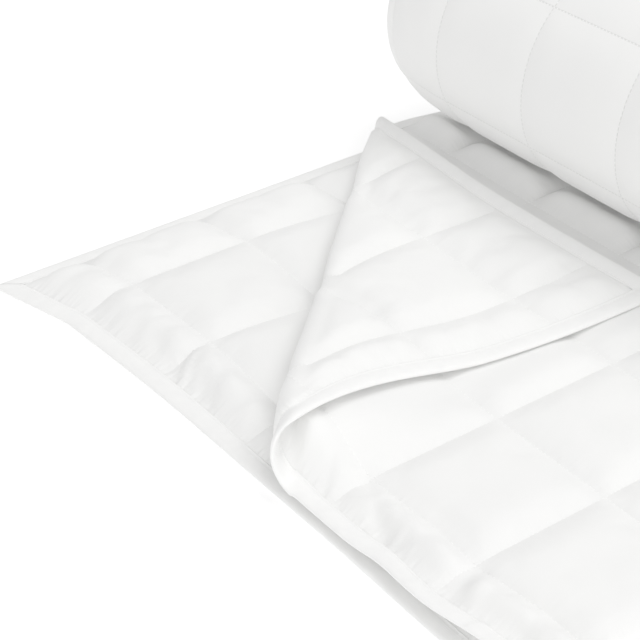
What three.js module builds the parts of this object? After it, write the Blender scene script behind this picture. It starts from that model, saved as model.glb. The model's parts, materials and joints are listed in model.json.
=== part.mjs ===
// A white square-quilted duvet: folded in half lengthwise, one front corner of the upper half turned back,
// the far end wound into a roll. Millimetres, +Z up, standing on z = 0.
// The duvet is drawn flat, u across its width and v along its length, and cut into cells. Every corner of a
// cell is then laid out: folded at mid width, turned back at the corner, wound at the far end.

import * as THREE from 'three';

// Flat duvet
const WIDTH = 1350;
const LENGTH = 2000;
const PITCH = 117;              // side of a quilted square
const SIDE_MARGIN = 90;         // long edge to the first row of quilting
const FRONT_MARGIN = 52;        // front edge to the first row of quilting
const ROWS_ACROSS = 11;
const ROWS_ALONG = 17;
const BINDING_WIDTH = 15;
const BINDING_HALF = 2.2;       // half thickness of the binding
const SEWN_GAP = 0.5;           // clearance between the body and its binding

// Fill, as heights from the middle of a layer
const LAYER = 12.5;             // height that one layer takes up
const CROWN = 5.75;             // half thickness on the crown of a pocket
const SEAM = 1.5;               // half thickness at a row of quilting
const RISE_SHARE = 0.16;        // share of a pocket over which the fill rises from seam to crown
const WOUND_FILL = 0.5;         // even fill of the inner turns, which are pressed flat
const GROOVE = 3.5;             // depth of the quilting on the face that lies on the floor
const HEM_GROOVE = 0.65;        // the same at the hem
const HEM_FALL = 45;            // distance over which a hem falls from its layer's height
const HEM_MIDDLE = 2.4;         // height of the lower hem's middle
const UPPER_HEM_DROP = 3;

// Edges as they lie: the corners stand out, the sides between them are drawn in
const CORNER_OUT = 22;
const CORNER_SPAN = 480;
const CORNER_POWER = 1.4;
const CORNER_FADE = 66;
const LOWER_SHIFT = 8;          // the lower half lies this far in from the upper one
const LOWER_SHIFT_FROM = 420;
const LOWER_SHIFT_TO = 640;
const LOWER_PULL = 9;           // the lower long edge is dragged forward
const PULL_FROM = 250;
const PULL_TO = 420;
const LOFT = 6;                 // the uncovered corner of the lower half springs up
const LOFT_FROM = 5;
const LOFT_TO = 90;

// Corner of the upper half that is turned back
const TURN_TOP = new THREE.Vector2(0, 405);
const TURN_FRONT = new THREE.Vector2(406, 0);
const BEND_TOP = 11;            // radius of the bend at the long edge
const BEND_FRONT = 22;          // and at the front edge, where it is looser
const BEND_STEPS = 8;
const FLAP_REST = 13.5;         // height of the settled flap above its layer
const FLAP_SETTLE = 110;        // distance over which it comes down from the bend
const FLAP_EASE = 1.06;         // the released flap lies a little longer
const FLAP_HEM_DROP = 3;

// Roll at the far end
const ROLL_AXIS = 487.5;        // distance of its axis from the front edge
const ROLL_RADIUS = 126;
const ROLL_TURN = 2 * LAYER;    // what the radius loses in one turn
const ROLL_NEUTRAL = 0.84;      // share of the outer radius at which the length is kept
const ROLL_STEP = THREE.MathUtils.degToRad(20);
const ROLL_PRESS = 90;          // the hems rise to the layer's height this far before the roll
const END_DRAW = 0.1;           // share by which the open end of the roll is drawn in
const END_REACH = 90;
const QUILTED_ROWS = 9;         // rows of squares that stay outside or on the outer turn

const FOLD_LINE = WIDTH / 2;
const FOLD_RADIUS = LAYER / 2;
const FOLD_REACH = FOLD_RADIUS * Math.PI / 2;
const LOWER = LAYER / 2;
const UPPER = 1.5 * LAYER;
const RISE = RISE_SHARE * PITCH;

const POCKET_SHARES = [0, RISE_SHARE, 1 - RISE_SHARE];
const ROLLED_SHARES = [0, 0.2, 0.4, 0.6, 0.8];
const SIDE_SHARES = [0, 0.25, 0.75];
const FRONT_SHARES = [0, 0.5];
const FOLD_STEPS = [-1, -0.5, 0.5, 1];
const FLAT_ROWS = 3;            // rows of squares that lie flat over their whole length

const SHELL_WHITE = 0xf4f4f3;
const SHELL_ROUGHNESS = 0.9;
const BINDING_WHITE = 0xf1f1f0;
const BINDING_ROUGHNESS = 0.85;

const { smoothstep, clamp, lerp } = THREE.MathUtils;

const seamsAcross = Array.from({ length: ROWS_ACROSS }, (_, i) => SIDE_MARGIN + i * PITCH);
const seamsAlong = Array.from({ length: ROWS_ALONG }, (_, i) => FRONT_MARGIN + i * PITCH);
const quiltedEnd = seamsAlong[QUILTED_ROWS];

const turnSpan = TURN_FRONT.distanceTo(TURN_TOP);
const turnAlong = TURN_FRONT.clone().sub(TURN_TOP).normalize();
const turnOut = new THREE.Vector2(turnAlong.y, -turnAlong.x);

// Fill of the pockets

function hemDistance(u, v) {
  return Math.min(u, WIDTH - u, v, LENGTH - v) - BINDING_WIDTH;
}

function seamDistance(place, seams) {
  return Math.min(...seams.map((seam) => Math.abs(place - seam)));
}

function fill(u, v) {
  const hem = clamp(hemDistance(u, v) / RISE, 0, 1);
  if (v > quiltedEnd) return WOUND_FILL * hem;
  const across = clamp(seamDistance(u, seamsAcross) / RISE, 0, 1);
  const along = clamp(seamDistance(v, seamsAlong) / RISE, 0, 1);
  return Math.min(across * along, hem);
}

function halfThickness(u, v) {
  return lerp(SEAM, CROWN, fill(u, v));
}

function hemFall(u, v) {
  const nearHem = 1 - smoothstep(hemDistance(u, v), 0, HEM_FALL);
  return nearHem * (1 - smoothstep(v, ROLL_AXIS - ROLL_PRESS, ROLL_AXIS));
}

// Laying out

function turnPlace(x, y) {
  const from = new THREE.Vector2(x, y).sub(TURN_TOP);
  return { along: from.dot(turnAlong), out: from.dot(turnOut) };
}

function bendRadius(along) {
  return lerp(BEND_TOP, BEND_FRONT, along / turnSpan);
}

function drawnIn(x, v) {
  const corner = clamp(1 - x / CORNER_SPAN, 0, 1) ** CORNER_POWER;
  return CORNER_OUT * corner * (1 - smoothstep(v, 0, CORNER_FADE));
}

function lowerMiddle(u, v) {
  const open = smoothstep(turnPlace(u, v).out, LOFT_FROM, LOFT_TO);
  return lerp(LOWER + LOFT * open, HEM_MIDDLE, hemFall(u, v));
}

function lowerPoint(u, v, offset) {
  const pull = LOWER_PULL * clamp(1 - u / SIDE_MARGIN, 0, 1) * (1 - smoothstep(v, PULL_FROM, PULL_TO));
  const x = u + LOWER_SHIFT * (1 - smoothstep(u, LOWER_SHIFT_FROM, LOWER_SHIFT_TO));
  return new THREE.Vector3(x, v - drawnIn(u, v) - pull, lowerMiddle(u, v) + offset);
}

function foldPoint(u, v, offset) {
  const angle = (u - FOLD_LINE) / FOLD_RADIUS;
  const radius = FOLD_RADIUS - offset;
  const x = FOLD_LINE - FOLD_REACH + radius * Math.cos(angle);
  const drop = lerp(LOWER - HEM_MIDDLE, UPPER_HEM_DROP, angle / Math.PI + 0.5) * hemFall(u, v);
  return new THREE.Vector3(x, v, LAYER + radius * Math.sin(angle) - drop);
}

function flapLift(radius, run) {
  return lerp(2 * radius, FLAP_REST, smoothstep(run, 0, FLAP_SETTLE));
}

function upperPoint(u, v, offset) {
  const x = WIDTH - u;
  const y = v - drawnIn(x, v);
  const fall = hemFall(u, v);
  const { along, out } = turnPlace(x, y);
  if (out <= 0) return new THREE.Vector3(x, y, UPPER - offset - UPPER_HEM_DROP * fall);
  const radius = bendRadius(along);
  const angle = Math.min(out / radius, Math.PI);
  const run = FLAP_EASE * Math.max(out - Math.PI * radius, 0);
  const reach = (radius + offset) * Math.sin(angle) - run;
  const bent = UPPER + radius - (radius + offset) * Math.cos(angle);
  const settled = flapLift(radius, run) - 2 * radius;
  const drop = lerp(UPPER_HEM_DROP, FLAP_HEM_DROP, angle / Math.PI) * fall;
  const place = TURN_TOP.clone().addScaledVector(turnAlong, along).addScaledVector(turnOut, reach);
  return new THREE.Vector3(place.x, place.y, bent + settled - drop);
}

function windingRadius(length) {
  return Math.sqrt(ROLL_RADIUS ** 2 - ROLL_TURN * length / (Math.PI * ROLL_NEUTRAL));
}

function windingAngle(length) {
  return 2 * Math.PI * (ROLL_RADIUS - windingRadius(length)) / ROLL_TURN;
}

function woundLength(angle) {
  return ROLL_NEUTRAL * (ROLL_RADIUS * angle - ROLL_TURN * angle ** 2 / (4 * Math.PI));
}

function wind(point, v) {
  if (v <= ROLL_AXIS) return point;
  const angle = windingAngle(v - ROLL_AXIS);
  const end = clamp(1 - point.x / END_REACH, 0, 1) ** 2;
  const draw = END_DRAW * end * smoothstep(angle, 0, Math.PI / 2);
  const radius = (windingRadius(v - ROLL_AXIS) - point.z) * (1 - draw);
  return point.set(point.x, ROLL_AXIS + radius * Math.sin(angle), ROLL_RADIUS - radius * Math.cos(angle));
}

// The offset is measured from the middle of the layer towards the face that lies inside the fold.
function layOut(u, v, offset) {
  if (u < FOLD_LINE - FOLD_REACH) return wind(lowerPoint(u, v, offset), v);
  if (u > FOLD_LINE + FOLD_REACH) return wind(upperPoint(u, v, offset), v);
  return wind(foldPoint(u, v, offset), v);
}

// Offset of the face that is outside the fold: flat on the floor under the lower half, crowned elsewhere.
function outerOffset(u, v) {
  const half = halfThickness(u, v);
  const groove = (1 - fill(u, v)) * lerp(GROOVE, HEM_GROOVE, hemFall(u, v));
  const floor = lowerMiddle(Math.min(u, FOLD_LINE - FOLD_REACH), v) - groove;
  return -lerp(floor, half, smoothstep(u, FOLD_LINE - FOLD_REACH, FOLD_LINE));
}

// Cells of the flat duvet

function spread(from, to, shares) {
  return shares.map((share) => lerp(from, to, share));
}

function stationsAcross(inset) {
  const hems = [inset, WIDTH - inset];
  const places = [...spread(hems[0], seamsAcross[0], SIDE_SHARES), hems[1]];
  places.push(...spread(hems[1], seamsAcross.at(-1), SIDE_SHARES.slice(1)));
  for (const seam of seamsAcross.slice(0, -1)) places.push(...spread(seam, seam + PITCH, POCKET_SHARES));
  places.push(seamsAcross.at(-1));
  for (const step of FOLD_STEPS) places.push(FOLD_LINE + step * FOLD_REACH);
  return places.sort((a, b) => a - b);
}

function coarseAcross(fine, inset) {
  const kept = [inset, ...seamsAcross.filter((_, i) => i % 2 === 0), FOLD_LINE, WIDTH - inset];
  return fine.filter((u) => kept.includes(u) || Math.abs(u - FOLD_LINE) <= FOLD_REACH);
}

function stationsAlong(inset) {
  const quilted = spread(inset, seamsAlong[0], FRONT_SHARES);
  seamsAlong.slice(0, QUILTED_ROWS).forEach((seam, row) => {
    quilted.push(...spread(seam, seam + PITCH, row < FLAT_ROWS ? POCKET_SHARES : ROLLED_SHARES));
  });
  quilted.push(quiltedEnd);
  const first = windingAngle(quiltedEnd - ROLL_AXIS);
  const last = windingAngle(LENGTH - inset - ROLL_AXIS);
  const count = Math.round((last - first) / ROLL_STEP);
  const wound = Array.from({ length: count }, (_, i) => {
    return ROLL_AXIS + woundLength(lerp(first, last, (i + 1) / count));
  });
  return { quilted, wound };
}

function bodyCells(inset) {
  const fine = stationsAcross(inset);
  const coarse = coarseAcross(fine, inset);
  const { quilted, wound } = stationsAlong(inset);
  const cells = [];
  const addRow = (lower, upper, near, far) => {
    for (let i = 0; i < upper.length - 1; i += 1) {
      const below = lower.filter((u) => u >= upper[i] && u <= upper[i + 1]);
      cells.push([...below.map((u) => [u, near]), [upper[i + 1], far], [upper[i], far]]);
    }
  };
  for (let row = 1; row < quilted.length; row += 1) addRow(fine, fine, quilted[row - 1], quilted[row]);
  addRow(fine, coarse, quiltedEnd, wound[0]);
  for (let row = 1; row < wound.length; row += 1) addRow(coarse, coarse, wound[row - 1], wound[row]);
  return cells;
}

// One ring of cells round the duvet, mitred at the corners.
function bindingCells(inset) {
  const fine = stationsAcross(inset);
  const { quilted, wound } = stationsAlong(inset);
  const cells = [];
  const addSide = (inner, length, place) => {
    const outer = [0, ...inner.slice(1, -1), length];
    for (let i = 0; i < inner.length - 1; i += 1) {
      const near = [[outer[i], 0], [outer[i + 1], 0]];
      const far = [[inner[i + 1], inset], [inner[i], inset]];
      cells.push([...near, ...far].map(([run, depth]) => place(run, depth)));
    }
  };
  const backwards = (stations, length) => stations.map((place) => length - place).reverse();
  const along = [...quilted, ...wound];
  addSide(fine, WIDTH, (run, depth) => [run, depth]);
  addSide(along, LENGTH, (run, depth) => [WIDTH - depth, run]);
  addSide(backwards(coarseAcross(fine, inset), WIDTH), WIDTH, (run, depth) => [WIDTH - run, LENGTH - depth]);
  addSide(backwards(along, LENGTH), LENGTH, (run, depth) => [depth, LENGTH - run]);
  return cells;
}

// Cells are split where the bend of the turned-back corner changes direction.
function splitCell(cell, side) {
  const sides = cell.map(([u, v]) => side(u, v));
  const parts = [[], []];
  cell.forEach((corner, i) => {
    const next = (i + 1) % cell.length;
    if (sides[i] <= 0) parts[0].push(corner);
    if (sides[i] >= 0) parts[1].push(corner);
    if (sides[i] * sides[next] >= 0) return;
    const share = sides[i] / (sides[i] - sides[next]);
    const crossing = corner.map((place, axis) => lerp(place, cell[next][axis], share));
    parts.forEach((part) => part.push(crossing));
  });
  return parts.filter((part) => part.length > 2);
}

function bendSide(step) {
  const angle = Math.PI * step / BEND_STEPS;
  return (u, v) => {
    if (u <= FOLD_LINE + FOLD_REACH) return -1;
    const x = WIDTH - u;
    const { along, out } = turnPlace(x, v - drawnIn(x, v));
    return out - bendRadius(along) * angle;
  };
}

function creased(cells) {
  let parts = cells;
  for (let step = 0; step <= BEND_STEPS; step += 1) {
    const side = bendSide(step);
    parts = parts.flatMap((cell) => splitCell(cell, side));
  }
  return parts;
}

// Closed solid with one face on each side of the cells and a wall round their rim.
function solid(cells, innerOffset, outsideOffset) {
  const corners = new Map();
  const positions = [];
  const cornerIndex = ([u, v]) => {
    const key = `${u.toFixed(3)} ${v.toFixed(3)}`;
    if (!corners.has(key)) {
      corners.set(key, positions.length / 3);
      positions.push(...layOut(u, v, innerOffset(u, v)).toArray());
      positions.push(...layOut(u, v, outsideOffset(u, v)).toArray());
    }
    return corners.get(key);
  };
  const triangles = [];
  const edges = new Map();
  for (const cell of cells) {
    const ring = cell.map(cornerIndex).filter((corner, i, all) => corner !== all.at(i - 1));
    const apex = ring.at(-1);
    for (let i = 0; i < ring.length - 2; i += 1) {
      triangles.push(apex, ring[i], ring[i + 1]);
      triangles.push(apex + 1, ring[i + 1] + 1, ring[i] + 1);
    }
    ring.forEach((corner, i) => {
      const next = ring[(i + 1) % ring.length];
      if (!edges.delete(`${next} ${corner}`)) edges.set(`${corner} ${next}`, [corner, next]);
    });
  }
  for (const [corner, next] of edges.values()) {
    triangles.push(next, corner, corner + 1);
    triangles.push(next, corner + 1, next + 1);
  }
  const geometry = new THREE.BufferGeometry();
  geometry.setAttribute('position', new THREE.Float32BufferAttribute(positions, 3));
  geometry.setIndex(triangles);
  geometry.computeVertexNormals();
  return geometry;
}

function cotton(color, roughness) {
  return new THREE.MeshStandardMaterial({ color, roughness, metalness: 0 });
}

function quiltedBody() {
  const cells = creased(bodyCells(BINDING_WIDTH + SEWN_GAP));
  const mesh = new THREE.Mesh(solid(cells, halfThickness, outerOffset), cotton(SHELL_WHITE, SHELL_ROUGHNESS));
  mesh.name = 'duvet_body';
  return mesh;
}

function edgeBinding() {
  const cells = creased(bindingCells(BINDING_WIDTH));
  const strip = solid(cells, () => BINDING_HALF, () => -BINDING_HALF);
  const mesh = new THREE.Mesh(strip, cotton(BINDING_WHITE, BINDING_ROUGHNESS));
  mesh.name = 'edge_binding';
  return mesh;
}

// The origin is the middle of the box's base.
const duvet = new THREE.Group();
duvet.add(quiltedBody(), edgeBinding());
const box = new THREE.Box3().setFromObject(duvet);
const middle = box.getCenter(new THREE.Vector3());
duvet.position.set(-middle.x, -middle.y, -box.min.z);

export default duvet;
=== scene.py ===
"""White square-quilted duvet, folded lengthwise, one corner turned back and the far end rolled.

Lengths are millimetres until a mesh is made. A point is named by its place on the flat duvet, u across
the width and v along the length, and by its offset from the middle of the layer. The offset is positive
towards the inner face, the one that lies inside the lengthwise fold.
"""
import json
import math

import bmesh
import bpy
import numpy as np
from mathutils import Matrix


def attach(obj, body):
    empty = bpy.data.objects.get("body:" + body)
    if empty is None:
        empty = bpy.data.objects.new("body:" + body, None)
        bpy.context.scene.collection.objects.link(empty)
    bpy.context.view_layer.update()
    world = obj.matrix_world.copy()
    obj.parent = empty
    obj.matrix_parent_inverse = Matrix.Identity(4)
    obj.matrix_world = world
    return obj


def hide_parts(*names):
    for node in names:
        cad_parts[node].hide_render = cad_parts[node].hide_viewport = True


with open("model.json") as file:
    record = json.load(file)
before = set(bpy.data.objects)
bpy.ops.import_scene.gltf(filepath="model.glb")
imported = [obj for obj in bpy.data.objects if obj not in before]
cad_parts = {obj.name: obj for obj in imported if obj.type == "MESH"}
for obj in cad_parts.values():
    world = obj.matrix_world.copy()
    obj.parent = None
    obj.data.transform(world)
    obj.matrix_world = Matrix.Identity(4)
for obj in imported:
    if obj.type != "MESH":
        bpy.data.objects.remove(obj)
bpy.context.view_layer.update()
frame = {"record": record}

MM = 0.001
BODY = "root"

# Flat duvet
WIDTH = 1350.0
LENGTH = 2000.0
PITCH = 117.0               # side of a quilted square
SIDE_MARGIN = 90.0          # long edge to the first row of quilting
FRONT_MARGIN = 52.0         # front edge to the first row of quilting
ROWS_ACROSS = 11
ROWS_ALONG = 17
FAR_SEAM = FRONT_MARGIN + (ROWS_ALONG - 1) * PITCH
BINDING_WIDTH = 15.0
TUCK = 2.0                  # the body's rim reaches this far into the folded binding
TUCKED_HALF = 1.0           # half thickness of the rim in there

# Fill, as heights from the middle of a layer
LAYER = 12.5
CROWN = 5.75                # of a face inside the fold
SEAM = 1.5
PRESSED = 4.1               # crown of a face that lies on another
OPEN_CROWN = 9.0            # and of one that lies open
GROOVE = 3.5                # depth of the quilting on the face that lies on the floor
ROLL_GROOVE = 2.2           # the same where the roll draws the shell taut
HEM_GROOVE = 0.65           # and along the hems
HEM_FALL = 28.0             # distance over which a layer thins out to its hem
HEM_MIDDLE = 2.4            # height of the lower hem's middle
UPPER_HEM_DROP = 5.5
LOWER = LAYER / 2
UPPER = 1.5 * LAYER
FOLD_LINE = WIDTH / 2
FOLD_RADIUS = LAYER / 2
FOLD_REACH = FOLD_RADIUS * math.pi / 2

# Edges as they lie
CORNER_OUT = 18.7           # the corner is drawn forward
CORNER_SPAN = 472.0
CORNER_POWER = 1.4
CORNER_FADE = 58.5
LOWER_SHIFT = 8.0           # the lower half lies this far towards the fold
LOWER_SHIFT_FROM = 420.0
LOWER_SHIFT_TO = 640.0
LOWER_PULL = 18.3           # and its long edge this far forward
PULL_FROM = 250.0
PULL_TO = 420.0
LOFT = 7.5                  # it puffs up where it is uncovered
LOFT_FROM = 5.0
LOFT_TO = 90.0
BOW = 5.9                   # the lower front rows bow back here
BOW_PLACE = (220.0, 55.0)
BOW_SIZE = (110.0, 60.0)
FRONT_BACK = 1.5            # the upper front edge lies this far back,
FRONT_WAVE = 3.0            # is pushed back more here,
FRONT_WAVE_PLACE = 510.0
FRONT_WAVE_SIZE = 25.0
FRONT_DRAW = 9.0            # and is drawn in towards the fold
FRONT_DRAW_FROM = 555.0
FRONT_DRAW_TO = 625.0
FRONT_FADE = 120.0
FRONT_RISE = 6.0            # the binding stands up here
FRONT_RISE_FROM = 480.0
FRONT_RISE_TO = 560.0
FRONT_RISE_REACH = 24.0

# Corner of the upper half that is turned back
TURN_TOP = np.array((0.0, 397.8))
TURN_FRONT = np.array((413.4, 0.0))
TURN_SPAN = float(np.linalg.norm(TURN_FRONT - TURN_TOP))
TURN_ALONG = (TURN_FRONT - TURN_TOP) / TURN_SPAN
TURN_OUT = np.array((TURN_ALONG[1], -TURN_ALONG[0]))
BEND_TOP = 6.1              # radius of the bend at the long edge
BEND_FRONT = 13.0           # and at the front edge
BEND_TALL = 0.76            # towards the front edge the bend is taller than it is wide by this share
BEND_TALL_FROM = 0.45
BEND_FLARE = 1.0            # the bound edge flares out round the bend's mouth
FLARE_REACH = 22.0
MOUTH_FILL = 0.8            # the layer below rises into the mouth by this share of its height
MOUTH_HEM = (4.0, 46.0)     # between these distances from the front edge
MOUTH_OUT = (385.0, 441.0)  # and falls again past the flap's low edge
FLAP_REST = 8.5             # height of the flap's middle over that of the layer below
FLAP_SETTLE = 130.0         # reached this far from the bend
FLAP_EASE = 0.982           # share of its length that the flap keeps as it lies
FLAP_SKEW = 0.045           # the flap slides along the turn as it goes over
FLAP_TWIST = 0.175          # and lies longer towards the long edge
BEND_DRAG = 20.0            # over the bend it is dragged towards the front edge
DRAG_REACH = 25.0
DRAG_FROM = 150.0           # but not at the top end of the bend
FAR_RISE = 5.0              # the flap's far binding stands up
FAR_RISE_REACH = 20.0
BEND_TAUT = 0.7             # share of the quilting's depth that the bend pulls out
ROW_DRAW = 22.0             # the flap's first row of quilting is drawn towards the bend
ROW_DRAW_PLACE = 139.0
ROW_DRAW_SIZE = 90.0
ROW_DRAW_FADE = (200.0, 330.0)
EDGE_BOW = 13.4             # the flap's low edge is drawn in past the mouth
EDGE_BOW_PLACE = 247.0
EDGE_BOW_SIZE = 94.0
EDGE_BOW_FADE = 110.0
COVER_FADE = 60.0           # the flap presses on what it covers from this far outside its hem

# Roll at the far end
ROLL_AXIS = 487.5
ROLL_RADIUS = 126.0
ROLL_TURN = 2 * LAYER       # what each turn adds to the radius
ROLL_NEUTRAL = 0.84         # the layers' length as a share of the spiral on which they are laid
ROLL_PRESS = 90.0           # the roll flattens the hems from this far away
END_DRAW = 0.1              # the roll's open end is drawn in by this share
END_REACH = 90.0
OUTER_TURN_END = 1110.0     # the outer turn meets the floor half again here
WOUND_FILL = 0.5            # share of the fill's height left in the inner turns
ROLL_DRAW = 20.0            # where the roll comes up off the floor it draws the long edges in
ROLL_DRAW_REACH = 90.0
ROLL_DRAW_IN = (405.0, 487.5)
ROLL_DRAW_OUT = (500.0, 640.0)
ROLL_SWELL = 6.2            # the pockets in front of the roll swell against it
ROLL_SWELL_PLACE = 424.0
ROLL_SWELL_SIZE = 16.0
ROLL_WEIGHT = (420.0, 452.0)  # and are pressed flat under it
PANEL_SOFT = 0.5            # share of the simulated shape in the cover, the rest is how the fill was cut

# Corner panel of the cover that is swollen by simulation
PANEL_POCKETS = 3
POCKET_CELLS = 36
SIDE_CELLS = 23
FRONT_CELLS = 11
PANEL_RISE = 24.0           # the fill rises from a seam to its crown over this distance
PANEL_CROWN = 5.0
PANEL_UNEVEN = 0.15         # so that no pocket starts quite even
PANEL_SEED = 7
PANEL_FRAMES = 20
PANEL_HOLD = 0.02           # how firmly the fill holds the cover inside a pocket
PANEL_CLOTH = {             # how the cover behaves while it swells
    "quality": 5,
    "mass": 0.1,
    "tension_stiffness": 15,
    "compression_stiffness": 15,
    "shear_stiffness": 5,
    "bending_stiffness": 2,
    "tension_damping": 10,
    "compression_damping": 10,
    "air_damping": 2,
    "shrink_min": -0.04,
    "shrink_max": -0.012,
    "use_pressure": True,
    "uniform_pressure_force": 0.7,
}

# Creases: whether on the inner face, flat places of the two ends, half width, and height
CREASES = (
    # upper front strip, from the mouth towards the fold
    (False, (962, 36), (944, 14), 6.0, 1.8),
    (False, (936, 38), (918, 14), 3.5, -2.4),
    (False, (907, 46), (850, 18), 7.0, -3.6),
    (False, (884, 37), (800, 38), 8.0, 2.6),
    (False, (890, 61), (812, 62), 8.0, -2.0),
    (False, (872, 14), (866, 30), 3.5, -1.5),
    (False, (856, 14), (852, 26), 3.2, -1.4),
    (False, (841, 14), (838, 28), 3.2, -1.4),
    (False, (787, 48), (777, 17), 7.0, -3.2),
    (False, (768, 36), (700, 38), 8.0, 2.4),
    # lower front strip, from the corner towards the bend
    (True, (34, 57), (86, 58), 6.0, -1.6),
    (True, (36, 176), (78, 173), 7.0, -1.8),
    (True, (164, 30), (204, 22), 6.0, -2.6),
    (True, (222, 16), (208, 32), 3.8, -2.4),
    (True, (230, 18), (214, 34), 3.8, 1.4),
    (True, (239, 16), (222, 33), 3.8, -2.4),
    (True, (257, 16), (240, 30), 3.8, -2.2),
    (True, (273, 16), (258, 28), 3.5, -1.8),
    (True, (226, 36), (268, 36), 8.0, 1.6),
    # flap, where its rows of quilting come over the bend
    (True, (1269, 268), (1267, 190), 8.0, -2.6),
    (True, (1249, 262), (1250, 195), 9.0, 1.1),
    (True, (1152, 154), (1150, 92), 8.0, -2.6),
    (True, (1132, 146), (1133, 95), 9.0, 1.1),
    # far corner of the flap
    (True, (1322, 40), (1296, 46), 6.0, -2.4),
    (True, (1320, 64), (1292, 60), 6.0, -2.0),
)

# Cells of the body's two faces: where the spacing changes, and the place there
BODY_INSET = BINDING_WIDTH - TUCK
CELLS_ACROSS = (0, 5, 85, 90)
PLACES_ACROSS = (BODY_INSET, SIDE_MARGIN, WIDTH - SIDE_MARGIN, WIDTH - BODY_INSET)
CELLS_ALONG = (0, 3, 131, 135)
PLACES_ALONG = (BODY_INSET, FRONT_MARGIN, FAR_SEAM, LENGTH - BODY_INSET)
FINE_CUTS = 3               # cuts in each cell that shows
ON_SEAM = 0.01              # a corner this near to a seam is on it
SIGHT_MARGIN = 40.0         # cells this far inside a covering edge are still cut finer
SIGHT_COVER = 0.9           # and those covered by less than this share

# Binding: depth from the outer edge and height from the middle, round one half of its section
TOPSTITCH_DEPTH = 12.7
TOPSTITCH_SURFACE = 1.7     # the topstitch draws the tape in to this height
BINDING_PROFILE = (
    # depth, height
    (15.0, 1.25),
    (14.9, 1.9),
    (14.2, 2.15),
    (13.4, 1.95),
    (TOPSTITCH_DEPTH, TOPSTITCH_SURFACE),
    (12.0, 1.95),
    (10.5, 2.2),
    (7.0, 2.35),
    (3.5, 2.25),
    (1.4, 1.75),
    (0.35, 0.9),
)
LINING_TOP = 1.2
BINDING_LINING = (
    # depth, height
    (3.0, 0.6),
    (5.0, 1.1),
    (11.0, LINING_TOP),
)
BINDING_STEP = 3.5          # along the edge, from one section to the next
MERGE_DISTANCE = 0.00001    # in metres, where the tape's end meets its start
RIPPLE = 0.5                # height of the tape's unevenness
RIPPLE_WAVES = (
    # length over one radian, start
    (3.1, 0.0),
    (5.3, 1.0),
    (8.9, 2.0),
)
JOIN_PLACE = 750.0          # the binding's ends overlap here on the front edge
JOIN_STEP = 0.6
JOIN_REACH = 14.0
JOIN_CUT = 0.0002           # half width of the step at the join, as a share of the front edge

# Threads: stitch pitch, and half length, width and height of a stitch
QUILTING_PITCH = 4.0
QUILTING_STITCH = (1.5, 0.65, 0.35)  # drawn twice its width to show
QUILTING_SINK = 0.08        # the thread sits this deep in the cover
TOPSTITCH_PITCH = 3.2
TOPSTITCH = (1.2, 0.28, 0.22)

# Cloth: percale's yarn is 0.25 mm apart and the tape's 0.35, too fine to show, so both are drawn coarser
COTTON = {"IOR": 1.46, "Sheen Weight": 0.12, "Sheen Roughness": 0.5}
PERCALE_THREAD = 0.9
PERCALE_GRAIN = 0.02        # height of the weave
TAPE_THREAD = 1.1
TAPE_GRAIN = 0.03
NEEDLE_HALF = 1.0           # the needle pulls a fine furrow, drawn twice its width to show; shade is painted in it too
NEEDLE_DEPTH = 0.3
PERCALE_SLACK = 26.0        # size of the soft dents
PERCALE_DENT = 0.4          # and their depth
PERCALE_TONE = 70.0         # size of the patches of uneven white
TAPE_PULL = 9.0             # size of the dents where the tape is pulled by its stitches
TAPE_DENT = 0.35
THREAD_TWIST = 0.6          # length of the fibres' twist
THREAD_FIBRE = 0.1          # height of the fibres
GATHER_PITCH = 5.0          # along the seam, from one small fold to the next
GATHER_LENGTH = 22.0        # out from the seam
GATHER_REACH = 9.0          # distance over which the gathers die away
SEAM_GATHER = 0.7           # depth of the gathers along the quilting
ROLL_GATHER = 0.15          # the same on the roll
HEM_GATHER = 2.0            # along the front and far hems
SIDE_GATHER = 1.0           # and along the side hems
HEM_GATHER_REACH = 5.0

# Camera, fitted to the rows of quilting
EYE = (1232.0, -516.7, 794.5)
LOOK_AZIMUTH = math.radians(56.16)
LOOK_ELEVATION = math.radians(33.2)
LOOK_ROLL = math.radians(-2.34)
LENS = 97.36

# Floor
FLOOR_HALF = 6.0            # in metres
FLOOR_GAP = 0.3             # below the duvet

# Light: azimuth from the front edge towards the fold, elevation, distance in metres, and power in watts
SOFTBOXES = (
    ("roll_softbox", 160, 67, 4.0, 72.0),
    ("fold_softbox", 100, 30, 2.5, 2.0),
    ("mouth_softbox", 42, 22, 2.5, 15.0),
)
ROOM_LIGHT = (0.285, 0.685)  # from the room's dark side to its bright one
ROOM_BRIGHT_SIDE = (0.81, 0.3, 0.5)  # direction of the bright one
SOFTBOX_SIZE = 0.64         # as a share of its distance
SHADOW_LIFT = 1.7           # lightens the picture's shadows, as the photograph's are

# The record's resting face has its middle at this point of the laid-out duvet
REST_POINT = (390.5, 227.5)
REST_IN_FRAME = frame["record"]["mounts"][0]["pos_m"]
TO_FRAME = np.array((REST_IN_FRAME[0] / MM - REST_POINT[0], REST_IN_FRAME[1] / MM - REST_POINT[1], 0.0))


def smoothstep(value, start, end):
    share = np.clip((value - start) / (end - start), 0, 1)
    return share * share * (3 - 2 * share)


def lerp(start, end, share):
    return start + (end - start) * share


def bell(value, place, size):
    return np.exp(-((value - place) / size) ** 2)


# Laying out

def hem_distance(u, v):
    return np.minimum.reduce([u, WIDTH - u, v, LENGTH - v]) - BINDING_WIDTH


def hem_fall(u, v):
    near_hem = 1 - smoothstep(hem_distance(u, v), 0, HEM_FALL)
    return near_hem * (1 - smoothstep(v, ROLL_AXIS - ROLL_PRESS, ROLL_AXIS))


def turn_place(x, y):
    """Distance along the line on which the corner is turned back, and out from it to the corner."""
    across, down = x - TURN_TOP[0], y - TURN_TOP[1]
    return across * TURN_ALONG[0] + down * TURN_ALONG[1], across * TURN_OUT[0] + down * TURN_OUT[1]


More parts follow.
